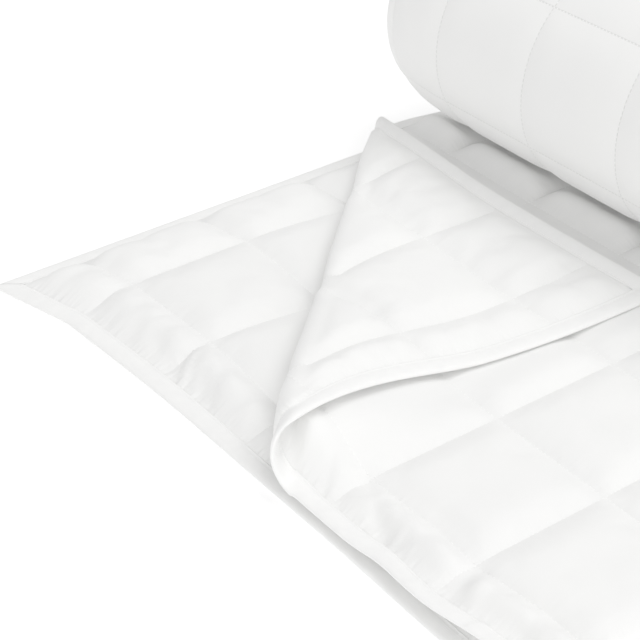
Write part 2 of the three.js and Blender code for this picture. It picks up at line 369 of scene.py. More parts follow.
def drawn_in(x, v):
    corner = np.clip(1 - x / CORNER_SPAN, 0, 1) ** CORNER_POWER
    return CORNER_OUT * corner * (1 - smoothstep(v, 0, CORNER_FADE))


def front_wave(x, v):
    wave = FRONT_WAVE * bell(x, FRONT_WAVE_PLACE, FRONT_WAVE_SIZE)
    draw = FRONT_DRAW * smoothstep(x, FRONT_DRAW_FROM, FRONT_DRAW_TO)
    return (FRONT_BACK + wave + draw) * (1 - smoothstep(v, 0, FRONT_FADE))


def front_rise(x, v):
    """How far the binding of the upper front edge stands up towards the lengthwise fold."""
    near_fold = smoothstep(x, FRONT_RISE_FROM, FRONT_RISE_TO)
    before_fold = 1 - smoothstep(x, FRONT_DRAW_TO, FOLD_LINE)
    return FRONT_RISE * near_fold * before_fold * (1 - smoothstep(v, 0, FRONT_RISE_REACH))


def roll_draw(x, v):
    """How far the roll draws in a place near the long edges."""
    near_edge = np.clip(1 - x / ROLL_DRAW_REACH, 0, 1) ** 2
    return ROLL_DRAW * near_edge * smoothstep(v, *ROLL_DRAW_IN) * (1 - smoothstep(v, *ROLL_DRAW_OUT))


def lower_middle(u, v):
    is_open = smoothstep(turn_place(u, v)[1], LOFT_FROM, LOFT_TO)
    return lerp(LOWER + LOFT * is_open, HEM_MIDDLE, hem_fall(u, v))


def lower_point(u, v, offset):
    pull = LOWER_PULL * np.clip(1 - u / SIDE_MARGIN, 0, 1) * (1 - smoothstep(v, PULL_FROM, PULL_TO))
    bow = BOW * bell(u, BOW_PLACE[0], BOW_SIZE[0]) * bell(v, BOW_PLACE[1], BOW_SIZE[1])
    x = u + LOWER_SHIFT * (1 - smoothstep(u, LOWER_SHIFT_FROM, LOWER_SHIFT_TO)) + roll_draw(u, v)
    return np.stack([x, v - drawn_in(u, v) - pull + bow, lower_middle(u, v) + offset])


def fold_point(u, v, offset):
    angle = (u - FOLD_LINE) / FOLD_RADIUS
    radius = FOLD_RADIUS - offset
    x = FOLD_LINE - FOLD_REACH + radius * np.cos(angle)
    drop = lerp(LOWER - HEM_MIDDLE, UPPER_HEM_DROP, angle / math.pi + 0.5) * hem_fall(u, v)
    return np.stack([x, v, LAYER + radius * np.sin(angle) - drop])


def upper_point(u, v, offset):
    """A point of the upper half: flat, or past the turn round its bend and back over the half itself."""
    x = WIDTH - u
    x = x + ROW_DRAW * bell(x, ROW_DRAW_PLACE, ROW_DRAW_SIZE) * (1 - smoothstep(v, *ROW_DRAW_FADE))
    bow = EDGE_BOW * bell(x, EDGE_BOW_PLACE, EDGE_BOW_SIZE) * (1 - smoothstep(v, 0, EDGE_BOW_FADE))
    y = v - drawn_in(x, v) + bow
    fall = hem_fall(u, v)
    along, out = turn_place(x, y)
    y = y + front_wave(x, v)
    radius = lerp(BEND_TOP, BEND_FRONT, along / TURN_SPAN)
    tall = radius * (1 + BEND_TALL * smoothstep(along / TURN_SPAN, BEND_TALL_FROM, 1))
    angle = np.clip(out / radius, 0, math.pi)
    over = (1 - np.cos(angle)) / 2
    flare = BEND_FLARE * (1 - smoothstep(v, 0, FLARE_REACH)) * np.sin(angle)
    run = FLAP_EASE * np.maximum(out - math.pi * radius, 0)
    dragged = BEND_DRAG * smoothstep(along, 0, DRAG_FROM) * over * np.exp(-run / DRAG_REACH)
    slid = along + FLAP_SKEW * run + dragged
    twist = 1 + FLAP_TWIST * (along / TURN_SPAN - 0.5)
    reach = (radius + offset + flare) * np.sin(angle) - run * twist
    lift = lerp(2 * tall, FLAP_REST, smoothstep(run, 0, FLAP_SETTLE)) - 2 * tall
    far_rise = FAR_RISE * (1 - smoothstep(WIDTH - u, 0, FAR_RISE_REACH)) * over
    height = UPPER + tall - (tall + offset) * np.cos(angle) + lift + far_rise
    room = np.maximum(2 * tall - FLAP_REST, 0) * (1 - smoothstep(-out, 0, FLAP_SETTLE))
    swell = MOUTH_FILL * room * smoothstep(v, *MOUTH_HEM) * (1 - smoothstep(x, *MOUTH_OUT))
    drop = (UPPER_HEM_DROP * fall - swell) * (1 - angle / math.pi) - front_rise(x, v)
    turned_x = TURN_TOP[0] + TURN_ALONG[0] * slid + TURN_OUT[0] * reach
    turned_y = TURN_TOP[1] + TURN_ALONG[1] * slid + TURN_OUT[1] * reach
    turned = np.stack([turned_x, turned_y, height - drop])
    flat_height = UPPER - offset - UPPER_HEM_DROP * fall + front_rise(x, v) + swell
    flat = np.stack([x + roll_draw(x, v), y, flat_height])
    return np.where(out > 0, turned, flat)


def winding_radius(length):
    return np.sqrt(ROLL_RADIUS ** 2 - ROLL_TURN * length / (math.pi * ROLL_NEUTRAL))


def winding_angle(length):
    return 2 * math.pi * (ROLL_RADIUS - winding_radius(length)) / ROLL_TURN


def wound_point(point, v):
    length = np.maximum(v - ROLL_AXIS, 0)
    angle = winding_angle(length)
    open_end = np.clip(1 - point[0] / END_REACH, 0, 1) ** 2
    draw = END_DRAW * open_end * smoothstep(angle, 0, math.pi / 2)
    radius = (winding_radius(length) - point[2]) * (1 - draw)
    return np.stack([point[0], ROLL_AXIS + radius * np.sin(angle), ROLL_RADIUS - radius * np.cos(angle)])


def lay_out(u, v, offset):
    """Points of the laid-out duvet in the frame, in metres, one row each."""
    lower = u < FOLD_LINE - FOLD_REACH
    upper = u > FOLD_LINE + FOLD_REACH
    point = np.where(upper, upper_point(u, v, offset), fold_point(u, v, offset))
    point = np.where(lower, lower_point(u, v, offset), point)
    point = np.where(v > ROLL_AXIS, wound_point(point, v), point)
    return (point.T + TO_FRAME) * MM


# Pockets of fill

def panel_stations(margin, margin_cells):
    hem = np.linspace(BINDING_WIDTH, margin, margin_cells, endpoint=False)
    pockets = margin + np.arange(PANEL_POCKETS * POCKET_CELLS + 1) * PITCH / POCKET_CELLS
    return np.concatenate([hem, pockets])


def seam_rise(places, margin):
    seams = np.concatenate([[BINDING_WIDTH], margin + np.arange(PANEL_POCKETS + 1) * PITCH])
    distance = np.abs(places[:, None] - seams).min(axis=1)
    return 1 - (1 - np.clip(distance / PANEL_RISE, 0, 1)) ** 2


def mesh_points(mesh):
    points = np.empty(len(mesh.vertices) * 3)
    mesh.vertices.foreach_get("co", points)
    return points.reshape(-1, 3)


def index_grid(name, columns, rows):
    """A flat grid whose corners stand on whole numbers."""
    bm = bmesh.new()
    bmesh.ops.create_grid(bm, x_segments=columns, y_segments=rows, size=0.5)
    bmesh.ops.translate(bm, vec=(0.5, 0.5, 0), verts=bm.verts)
    bmesh.ops.scale(bm, vec=(columns, rows, 1), verts=bm.verts)
    mesh = bpy.data.meshes.new(name)
    bm.to_mesh(mesh)
    bm.free()
    return mesh


def swollen_panel():
    """Height of the cover over a corner of the duvet, as a share of a crown's height.

    The corner has a hem along two sides and three pockets each way. Its cover is cut a little larger
    than the fill needs and is held down along the hems and seams, so it swells and puckers there."""
    across = panel_stations(SIDE_MARGIN, SIDE_CELLS)
    along = panel_stations(FRONT_MARGIN, FRONT_CELLS)
    rise = seam_rise(across, SIDE_MARGIN)[:, None] * seam_rise(along, FRONT_MARGIN)
    mesh = index_grid("cover_panel", len(across) - 1, len(along) - 1)
    corner = np.rint(mesh_points(mesh)).astype(int)
    i, j = corner[:, 0], corner[:, 1]
    start = rise[i, j]
    uneven = np.random.default_rng(PANEL_SEED).normal(0, PANEL_UNEVEN, len(start))
    height = PANEL_CROWN * start + np.where(start > 0, uneven, 0)
    mesh.vertices.foreach_set("co", (np.stack([across[i], along[j], height], axis=1) * MM).ravel())
    panel = bpy.data.objects.new("cover_panel", mesh)
    bpy.context.scene.collection.objects.link(panel)
    held = panel.vertex_groups.new(name="held")
    held.add(np.flatnonzero(start > 0).tolist(), PANEL_HOLD, "REPLACE")
    held.add(np.flatnonzero(start == 0).tolist(), 1.0, "REPLACE")
    taut = panel.vertex_groups.new(name="taut")
    in_pocket = (across[i] > SIDE_MARGIN) & (along[j] > FRONT_MARGIN)
    taut.add(np.flatnonzero(in_pocket).tolist(), 1.0, "REPLACE")
    cloth = panel.modifiers.new("swell", "CLOTH")
    for name, value in PANEL_CLOTH.items():
        setattr(cloth.settings, name, value)
    cloth.settings.vertex_group_mass = held.name
    cloth.settings.vertex_group_shrink = taut.name
    cloth.settings.effector_weights.gravity = 0
    cloth.collision_settings.use_collision = False
    cloth.point_cache.frame_end = PANEL_FRAMES
    scene = bpy.context.scene
    for step in range(1, PANEL_FRAMES + 1):
        scene.frame_set(step)
    swollen = panel.evaluated_get(bpy.context.evaluated_depsgraph_get())
    share = np.zeros_like(rise)
    share[i, j] = mesh_points(swollen.data)[:, 2] / MM
    bpy.data.objects.remove(panel)
    bpy.data.meshes.remove(mesh)
    scene.frame_set(1)
    middle = POCKET_CELLS // 2
    crowns = share[SIDE_CELLS + middle::POCKET_CELLS, FRONT_CELLS + middle::POCKET_CELLS]
    return lerp(rise, share / crowns.mean(), PANEL_SOFT)


def panel_place(place, length, margin, rows, margin_cells, chosen, flipped):
    """Place in the panel's cells of a place on the flat duvet, in one of its two directions."""
    inside = (place - margin) / PITCH
    share = inside - np.floor(inside)
    share = np.where(flipped, 1 - share, share)
    far_seam = margin + (rows - 1) * PITCH
    near = margin_cells * (place - BINDING_WIDTH) / (margin - BINDING_WIDTH)
    far = margin_cells * (length - BINDING_WIDTH - place) / (length - BINDING_WIDTH - far_seam)
    cell = margin_cells + (chosen + share) * POCKET_CELLS
    cell = np.where(place < margin, near, np.where(place > far_seam, far, cell))
    return np.clip(cell, 0, margin_cells + PANEL_POCKETS * POCKET_CELLS)


def cover_share(u, v, inner):
    """Height of the cover at a place, from 0 on a seam to about 1 on a crown.

    Each pocket takes one of the panel's pockets, turned over or not, so that neighbours differ."""
    column = np.floor((u - SIDE_MARGIN) / PITCH).astype(int)
    row = np.floor((v - FRONT_MARGIN) / PITCH).astype(int)
    face = np.where(inner, 1, 0)
    chosen_across = (column + 2 * row + face) % PANEL_POCKETS
    chosen_along = (row + column // 2 + face) % PANEL_POCKETS
    flip_across = (column + row) % 2 == 1
    flip_along = (column + face) % 2 == 1
    i = panel_place(u, WIDTH, SIDE_MARGIN, ROWS_ACROSS, SIDE_CELLS, chosen_across, flip_across)
    j = panel_place(v, LENGTH, FRONT_MARGIN, ROWS_ALONG, FRONT_CELLS, chosen_along, flip_along)
    low_i = np.minimum(i.astype(int), PANEL.shape[0] - 2)
    low_j = np.minimum(j.astype(int), PANEL.shape[1] - 2)
    near = lerp(PANEL[low_i, low_j], PANEL[low_i + 1, low_j], i - low_i)
    far = lerp(PANEL[low_i, low_j + 1], PANEL[low_i + 1, low_j + 1], i - low_i)
    share = lerp(near, far, j - low_j)
    hem = np.clip(hem_distance(u, v) / PANEL_RISE, 0, 1)
    return np.where(v > OUTER_TURN_END, np.minimum(share, WOUND_FILL * hem), share)


def covered_share(u, v):
    """How far a place of the upper half is under the turned-back corner, or is that corner, from 0 to 1."""
    x = WIDTH - u
    along, out = turn_place(x, v - drawn_in(x, v))
    radius = lerp(BEND_TOP, BEND_FRONT, along / TURN_SPAN)
    back = math.pi * radius - out / FLAP_EASE
    over_x = TURN_TOP[0] + TURN_ALONG[0] * along + TURN_OUT[0] * back
    over_y = TURN_TOP[1] + TURN_ALONG[1] * along + TURN_OUT[1] * back
    under = smoothstep(np.minimum(over_x, over_y), -COVER_FADE, 0) * smoothstep(-out, 0, COVER_FADE / 2)
    turned = smoothstep(out, 0, math.pi * radius)
    return np.where(u > FOLD_LINE, np.where(out > 0, turned, under), 0)


def open_share(u, v):
    """How far a place of the inner face is uncovered by the turned-back corner, from 0 to 1."""
    x = np.where(u > FOLD_LINE, WIDTH - u, u)
    return smoothstep(turn_place(x, v - drawn_in(x, v))[1], 0, COVER_FADE)


def bend_share(u, v):
    """How far a place of the inner face is on the bend of the turned-back corner, from 0 to 1."""
    x = WIDTH - u
    along, out = turn_place(x, v - drawn_in(x, v))
    half = math.pi * lerp(BEND_TOP, BEND_FRONT, along / TURN_SPAN) / 2
    return np.where(u > FOLD_LINE, 1 - smoothstep(np.abs(out - half), half / 2, 2 * half), 0)


def crease_height(u, v, inner):
    """Height of the listed creases, outwards from the face."""
    height = np.zeros(u.shape)
    for on_inner, start, end, half_width, crest in CREASES:
        run_u, run_v = end[0] - start[0], end[1] - start[1]
        share = ((u - start[0]) * run_u + (v - start[1]) * run_v) / (run_u ** 2 + run_v ** 2)
        share = np.clip(share, 0, 1)
        distance = np.hypot(u - start[0] - share * run_u, v - start[1] - share * run_v)
        height += np.where(inner == on_inner, crest * bell(distance, 0, half_width), 0)
    return height


def inner_offset(u, v):
    share = cover_share(u, v, True)
    share = np.where(open_share(u, v) > 0, share, np.minimum(share, 1))
    bend = bend_share(u, v)
    crown = lerp(CROWN, OPEN_CROWN, open_share(u, v) * (1 - bend))
    return lerp(SEAM, crown, lerp(share, 1, BEND_TAUT * bend))


def outer_offset(u, v):
    share = cover_share(u, v, False)
    wound = smoothstep(v, ROLL_AXIS, ROLL_AXIS + ROLL_PRESS)
    groove = lerp(lerp(GROOVE, ROLL_GROOVE, wound), HEM_GROOVE, hem_fall(u, v))
    on_floor = lower_middle(np.minimum(u, FOLD_LINE - FOLD_REACH), v) - groove * (1 - np.minimum(share, 1))
    crown = lerp(OPEN_CROWN, PRESSED, smoothstep(v, *ROLL_WEIGHT))
    crowned = lerp(SEAM, lerp(crown, PRESSED, covered_share(u, v)), share)
    crowned += ROLL_SWELL * share * bell(v, ROLL_SWELL_PLACE, ROLL_SWELL_SIZE)
    return -lerp(on_floor, crowned, smoothstep(u, FOLD_LINE - FOLD_REACH, FOLD_LINE))


def face_offset(u, v, inner):
    crease = crease_height(u, v, inner)
    offset = np.where(inner, inner_offset(u, v) + crease, outer_offset(u, v) - crease)
    tucked = np.where(inner, TUCKED_HALF, -TUCKED_HALF)
    return lerp(tucked, offset, smoothstep(hem_distance(u, v), -TUCK, TUCK))


def in_sight(u, v, inner):
    """Whether a place on the inner or outer face shows from some side."""
    x = np.where(u > FOLD_LINE, WIDTH - u, u)
    turned = turn_place(x, v)[1] > -SIGHT_MARGIN
    front_hem = (u < FOLD_LINE) & (v < FRONT_MARGIN + SIGHT_MARGIN / 2)
    upper_top = (u > FOLD_LINE) & (v < ROLL_AXIS) & (covered_share(u, v) < SIGHT_COVER)
    rolled = (u < FOLD_LINE) & (v > ROLL_AXIS - SIGHT_MARGIN) & (v < OUTER_TURN_END)
    folded = np.abs(u - FOLD_LINE) < SIGHT_MARGIN / 2
    return np.where(inner, turned | front_hem, upper_top | rolled | folded)


# Meshes

def finished(name, mesh, material):
    """The mesh as a smooth piece of the duvet."""
    mesh.shade_smooth()
    mesh.materials.append(material)
    piece = bpy.data.objects.new(name, mesh)
    bpy.context.scene.collection.objects.link(piece)
    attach(piece, BODY)
    return piece


def add_flat_map(mesh, across, along):
    """UV map of the cloth as it was cut, in metres."""
    corners = np.empty(len(mesh.loops), dtype=int)
    mesh.loops.foreach_get("vertex_index", corners)
    flat = np.stack([across[corners], along[corners]], axis=1) * MM
    mesh.uv_layers.new(name="flat").uv.foreach_set("vector", flat.ravel())


def seam_distance(place, margin, rows):
    seam = np.clip(np.rint((place - margin) / PITCH), 0, rows - 1)
    return np.abs(place - margin - PITCH * seam)


def crease_seams(mesh, u, v):
    """Sharp edges down the seams, where the thread pulls the cover into a crease."""
    ends = np.empty(len(mesh.edges) * 2, dtype=int)
    mesh.edges.foreach_get("vertices", ends)
    start, end = ends.reshape(-1, 2).T
    on_column = seam_distance(u, SIDE_MARGIN, ROWS_ACROSS) < ON_SEAM
    on_row = seam_distance(v, FRONT_MARGIN, ROWS_ALONG) < ON_SEAM
    down_column = on_column[start] & on_column[end] & (np.abs(u[start] - u[end]) < ON_SEAM)
    down_row = on_row[start] & on_row[end] & (np.abs(v[start] - v[end]) < ON_SEAM)
    mesh.attributes.new("sharp_edge", "BOOLEAN", "EDGE").data.foreach_set("value", down_column | down_row)


def add_gathers(mesh, u, v):
    """How deep the cover is gathered, in millimetres, next to the seams and hems that run each way."""
    taut = smoothstep(v, ROLL_AXIS - ROLL_PRESS, ROLL_AXIS)
    seam_depth = lerp(SEAM_GATHER, ROLL_GATHER, taut)
    row_seam = np.exp(-seam_distance(v, FRONT_MARGIN, ROWS_ALONG) / GATHER_REACH)
    column_seam = np.exp(-seam_distance(u, SIDE_MARGIN, ROWS_ACROSS) / GATHER_REACH)
    front_hem = np.exp(-(np.minimum(v, LENGTH - v) - BINDING_WIDTH) / HEM_GATHER_REACH)
    side_hem = np.exp(-(np.minimum(u, WIDTH - u) - BINDING_WIDTH) / HEM_GATHER_REACH)
    depths = {
        "gather_across": seam_depth * row_seam + HEM_GATHER * front_hem,
        "gather_along": seam_depth * column_seam + SIDE_GATHER * side_hem,
        # also limits where the seams' painted shade shows
        "drawn_taut": taut,
    }
    for name, depth in depths.items():
        mesh.attributes.new(name, "FLOAT", "POINT").data.foreach_set("value", depth)


def flat_place(cells):
    u = np.interp(cells[:, 0], CELLS_ACROSS, PLACES_ACROSS)
    v = np.interp(cells[:, 1], CELLS_ALONG, PLACES_ALONG)
    return u, v


def on_inner_face(cells):
    """The outer face's cells are made at a height of 0 and the inner one's at 1."""
    return cells[:, 2] > 0.5


def body_cells():
    """The two faces of the body and the rim between them, in the cells of the flat duvet."""
    bm = bmesh.new()
    columns, rows = CELLS_ACROSS[-1], CELLS_ALONG[-1]
    for height in (0, 1):
        place = Matrix.Translation((0.5, 0.5, height))
        bmesh.ops.create_grid(bm, x_segments=columns, y_segments=rows, size=0.5, matrix=place)
    bmesh.ops.scale(bm, vec=(columns, rows, 1), verts=bm.verts)
    middles = np.array([face.calc_center_median() for face in bm.faces])
    shown = in_sight(*flat_place(middles), on_inner_face(middles))
    fine = {}  # its keys are the edges to cut, in order
    for face, seen in zip(bm.faces, shown):
        if seen:
            fine.update((edge, True) for edge in face.edges if not edge.is_boundary)
    rim = [edge for edge in bm.edges if edge.is_boundary]
    rim_middles = np.array([(edge.verts[0].co + edge.verts[1].co) / 2 for edge in rim])
    flat_rim = flat_place(rim_middles)[1] < ROLL_AXIS
    fine.update((edge, True) for edge, flat in zip(rim, flat_rim) if flat)
    bmesh.ops.subdivide_edges(bm, edges=list(fine), cuts=FINE_CUTS, use_grid_fill=True)
    bmesh.ops.bridge_loops(bm, edges=[edge for edge in bm.edges if edge.is_boundary])
    bmesh.ops.recalc_face_normals(bm, faces=bm.faces)
    mesh = bpy.data.meshes.new("quilted_body")
    bm.to_mesh(mesh)
    bm.free()
    return mesh


def build_body(material):
    mesh = body_cells()
    cells = mesh_points(mesh)
    u, v = flat_place(cells)
    points = lay_out(u, v, face_offset(u, v, on_inner_face(cells)))
    mesh.vertices.foreach_set("co", points.ravel())
    add_flat_map(mesh, u, v)
    add_gathers(mesh, u, v)
    body = finished("quilted_body", mesh, material)
    crease_seams(mesh, u, v)
    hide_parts("duvet_body")


def binding_sides():
    """Each side of the duvet: its length, and the place on it of a run along the side and a depth."""
    return (
        (WIDTH, lambda run, depth: (run, depth)),
        (LENGTH, lambda run, depth: (WIDTH - depth, run)),
        (WIDTH, lambda run, depth: (WIDTH - run, LENGTH - depth)),
        (LENGTH, lambda run, depth: (depth, LENGTH - run)),
    )


def binding_section():
    """The folded tape's closed section: over, round the edge, under, and back along the lining."""
    over = list(BINDING_PROFILE)
    under = [(depth, -height) for depth, height in reversed(over)]
    lining_under = [(depth, -height) for depth, height in reversed(BINDING_LINING)]
    lining_over = list(BINDING_LINING)
    section = over + [(0.0, 0.0)] + under + lining_under + lining_over
    return np.array(section + section[:1])


def ripple(run):
    """Unevenness of the tape between its stitches."""
    waves = sum(np.sin(run / length + start) for length, start in RIPPLE_WAVES)
    return RIPPLE * waves / len(RIPPLE_WAVES)


def build_binding(material):
    """The tape: its section at every step round the edge, mitred at the corners."""
    section = binding_section()
    runs, sides = [], []
    for number, (length, _) in enumerate(binding_sides()):
        steps = round(length / BINDING_STEP)
        places = np.arange(steps) / steps
        if number == 0:
            join = JOIN_PLACE / length
            places = np.sort(np.append(places, (join - JOIN_CUT, join + JOIN_CUT)))
        runs.append(places)
        sides.append(np.full(len(places), number))
    runs = np.append(np.concatenate(runs), 0.0)
    sides = np.append(np.concatenate(sides), 0)
    mesh = index_grid("bound_edge", len(runs) - 1, len(section) - 1)
    corner = np.rint(mesh_points(mesh)).astype(int)
    share, side = runs[corner[:, 0]], sides[corner[:, 0]]
    depth, height = section[corner[:, 1]].T
    u, v, distance = np.zeros((3, len(depth)))
    walked = 0.0
    for number, (length, place) in enumerate(binding_sides()):
        on_side = side == number
        run = depth[on_side] + (length - 2 * depth[on_side]) * share[on_side]
        u[on_side], v[on_side] = place(run, depth[on_side])
        distance[on_side] = walked + run
        walked += length
    past_join = distance - JOIN_PLACE
    at_join = (past_join < 0) & (past_join > -JOIN_REACH)
    overlap = JOIN_STEP * np.where(at_join, 1 + past_join / JOIN_REACH, 0)
    middle = 1 - np.abs(depth - BINDING_WIDTH / 2) / (BINDING_WIDTH / 2)
    skin = np.sign(height) * (np.abs(height) > LINING_TOP)
    height = height + skin * (overlap + ripple(distance) * middle)
    mesh.vertices.foreach_set("co", lay_out(u, v, height).ravel())
    add_flat_map(mesh, distance, depth)
    bm = bmesh.new()
    bm.from_mesh(mesh)
    bmesh.ops.remove_doubles(bm, verts=bm.verts, dist=MERGE_DISTANCE)
    bmesh.ops.recalc_face_normals(bm, faces=bm.faces)
    bm.to_mesh(mesh)
    bm.free()
    edge = finished("bound_edge", mesh, material)
    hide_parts("edge_binding")


def build_thread(name, u, v, turned, offset, sizes, material):
    """Stitches as one mesh: each is a short spindle, along the width, or along the length if turned."""
    bm = bmesh.new()
    bmesh.ops.create_uvsphere(bm, u_segments=4, v_segments=2, radius=1)
    stitch = np.array([vert.co[:] for vert in bm.verts]) * sizes
    faces = np.array([[vert.index for vert in face.verts] for face in bm.faces])
    bm.free()
    along, across, up = stitch.T[:, None, :]
    stitch_u = u[:, None] + np.where(turned[:, None], -across, along)
    stitch_v = v[:, None] + np.where(turned[:, None], along, across)
    points = lay_out(stitch_u.ravel(), stitch_v.ravel(), (offset[:, None] + up).ravel())
    first = np.arange(len(u))[:, None, None] * len(stitch)
    mesh = bpy.data.meshes.new(name)
    mesh.from_pydata(points.tolist(), [], (faces + first).reshape(-1, 3).tolist())
    finished(name, mesh, material)


def build_quilting_thread(material):
    """A row of stitches down every seam that shows, on both faces."""
    places_across = np.arange(BINDING_WIDTH + QUILTING_PITCH, WIDTH - BINDING_WIDTH, QUILTING_PITCH)
    places_along = np.arange(BINDING_WIDTH + QUILTING_PITCH, OUTER_TURN_END, QUILTING_PITCH)
    rows = FRONT_MARGIN + np.arange(ROWS_ALONG) * PITCH
    columns = SIDE_MARGIN + np.arange(ROWS_ACROSS) * PITCH
    row_u, row_v = np.meshgrid(places_across, rows)
    column_u, column_v = np.meshgrid(columns, places_along)
    u = np.concatenate([row_u.ravel(), column_u.ravel()])
    v = np.concatenate([row_v.ravel(), column_v.ravel()])
    turned = np.arange(len(u)) >= row_u.size
    u, v, turned = np.tile(u, 2), np.tile(v, 2), np.tile(turned, 2)
    inner = np.arange(len(u)) >= len(u) // 2
    shown = in_sight(u, v, inner)
    u, v, turned, inner = u[shown], v[shown], turned[shown], inner[shown]
    offset = face_offset(u, v, inner) - np.where(inner, QUILTING_SINK, -QUILTING_SINK)
    build_thread("quilting_thread", u, v, turned, offset, QUILTING_STITCH, material)


def build_binding_thread(material):
    """Topstitching round the binding, on both faces."""
    all_u, all_v, all_turned = [], [], []
    for number, (length, place) in enumerate(binding_sides()):
        run = np.arange(TOPSTITCH_DEPTH, length - TOPSTITCH_DEPTH, TOPSTITCH_PITCH)
        u, v = place(run, np.full(len(run), TOPSTITCH_DEPTH))
        all_u.append(u)
        all_v.append(v)
        all_turned.append(np.full(len(run), number % 2 == 1))
    u, v = np.tile(np.concatenate(all_u), 2), np.tile(np.concatenate(all_v), 2)
    turned = np.tile(np.concatenate(all_turned), 2)
    offset = np.where(np.arange(len(u)) < len(u) // 2, TOPSTITCH_SURFACE, -TOPSTITCH_SURFACE)
    build_thread("binding_thread", u, v, turned, offset, TOPSTITCH, material)


# Materials

def linear(hex_colour):
    """Linear colour of an sRGB hex value."""
    channels = [int(hex_colour[at:at + 2], 16) / 255 for at in (1, 3, 5)]
    curve = [c / 12.92 if c <= 0.04045 else ((c + 0.055) / 1.055) ** 2.4 for c in channels]
    return (*curve, 1.0)


def add_node(tree, kind, settings=None, links=None):
    """Adds a node: settings are its properties or its inputs' values, links its inputs' sources."""
    node = tree.nodes.new(kind)
    for name, value in (settings or {}).items():
        if isinstance(name, str) and name not in node.inputs and hasattr(node, name):
            setattr(node, name, value)
        else:
            node.inputs[name].default_value = value
    for name, source in (links or {}).items():
        tree.links.new(source, node.inputs[name])
    return node


def new_material(name, even):
    """A material, its node tree and its shader, with the values that are the same all over set."""
    material = bpy.data.materials.new(name)
    material.use_nodes = True
    shader = material.node_tree.nodes["Principled BSDF"]
    for socket, value in even.items():
        shader.inputs[socket].default_value = value
    return material, material.node_tree, shader


def weave_height(tree, flat, thread):
    """Over and under of a plain weave, from -1 to 1, on a flat map in millimetres."""
    split = add_node(tree, "ShaderNodeSeparateXYZ", links={0: flat})
    waves = []
    for axis in ("X", "Y"):
        turns = {"operation": "MULTIPLY", 1: math.pi / thread}
        turn = add_node(tree, "ShaderNodeMath", turns, {0: split.outputs[axis]})
        wave = add_node(tree, "ShaderNodeMath", {"operation": "SINE"}, {0: turn.outputs[0]})
        waves.append(wave.outputs[0])
    both = add_node(tree, "ShaderNodeMath", {"operation": "MULTIPLY"}, {0: waves[0], 1: waves[1]})
    return both.outputs[0]


def gather_height(tree, flat, attribute, size):
    """Small folds that run out from a seam, as deep as the attribute says, from about -0.5 to 0.5."""
    scale = [1 / length for length in size] + [1.0]
    stretched = add_node(tree, "ShaderNodeVectorMath", {"operation": "MULTIPLY", 1: scale}, {0: flat})
    folds = add_node(
        tree,
        "ShaderNodeTexNoise",
        {"noise_dimensions": "2D", "Scale": 1.0, "Detail": 2.0, "Roughness": 0.45},
        {"Vector": stretched.outputs[0]},
    )
    level = add_node(tree, "ShaderNodeMath", {"operation": "SUBTRACT", 1: 0.5}, {0: folds.outputs["Fac"]})
    depth = add_node(tree, "ShaderNodeAttribute", {"attribute_name": attribute})
    folded = add_node(
        tree,
        "ShaderNodeMath",
        {"operation": "MULTIPLY"},
        {0: level.outputs[0], 1: depth.outputs["Fac"]},
    )
    return folded.outputs[0]


def needle_line(tree, flat):
    """Furrow of the needle down each seam, opened where the cover is taut, which dents the cloth and
    carries painted shade: 1 in the line, 0 beside it.
    """
    split = add_node(tree, "ShaderNodeSeparateXYZ", links={0: flat})
    sides = []
    for axis, margin in (("X", SIDE_MARGIN), ("Y", FRONT_MARGIN)):
        from_first = {"operation": "SUBTRACT", 1: margin}
        place = add_node(tree, "ShaderNodeMath", from_first, {0: split.outputs[axis]})
        to_nearest = {"operation": "PINGPONG", 1: PITCH / 2}
        distance = add_node(tree, "ShaderNodeMath", to_nearest, {0: place.outputs[0]})
        beside = add_node(
            tree,
            "ShaderNodeMapRange",
            {"interpolation_type": "SMOOTHSTEP", "From Max": NEEDLE_HALF, "To Min": 1.0, "To Max": 0.0},
            {"Value": distance.outputs[0]},
        )
        sides.append(beside.outputs[0])
    line = add_node(tree, "ShaderNodeMath", {"operation": "MAXIMUM"}, {0: sides[0], 1: sides[1]})
    taut = add_node(tree, "ShaderNodeAttribute", {"attribute_name": "drawn_taut"})
    opened = add_node(
        tree,
        "ShaderNodeMath",
        {"operation": "MULTIPLY"},
        {0: line.outputs[0], 1: taut.outputs["Fac"]},
    )
    return opened.outputs[0]


def summed(tree, heights):
    """Sum of heights, each with its depth in millimetres."""
    total = None
    for source, depth in heights:
        settings = {"operation": "MULTIPLY_ADD", 1: depth, 2: 0.0}
        links = {0: source}
        if total is not None:
            links[2] = total
        total = add_node(tree, "ShaderNodeMath", settings, links).outputs[0]
    return total


def flat_millimetres(tree):
    """The cloth's own flat map, in millimetres."""
    flat = add_node(tree, "ShaderNodeUVMap", {"uv_map": "flat"})
    to_millimetres = {"operation": "SCALE", "Scale": 1 / MM}
    scaled = add_node(tree, "ShaderNodeVectorMath", to_millimetres, {0: flat.outputs[0]})
    return scaled.outputs[0]


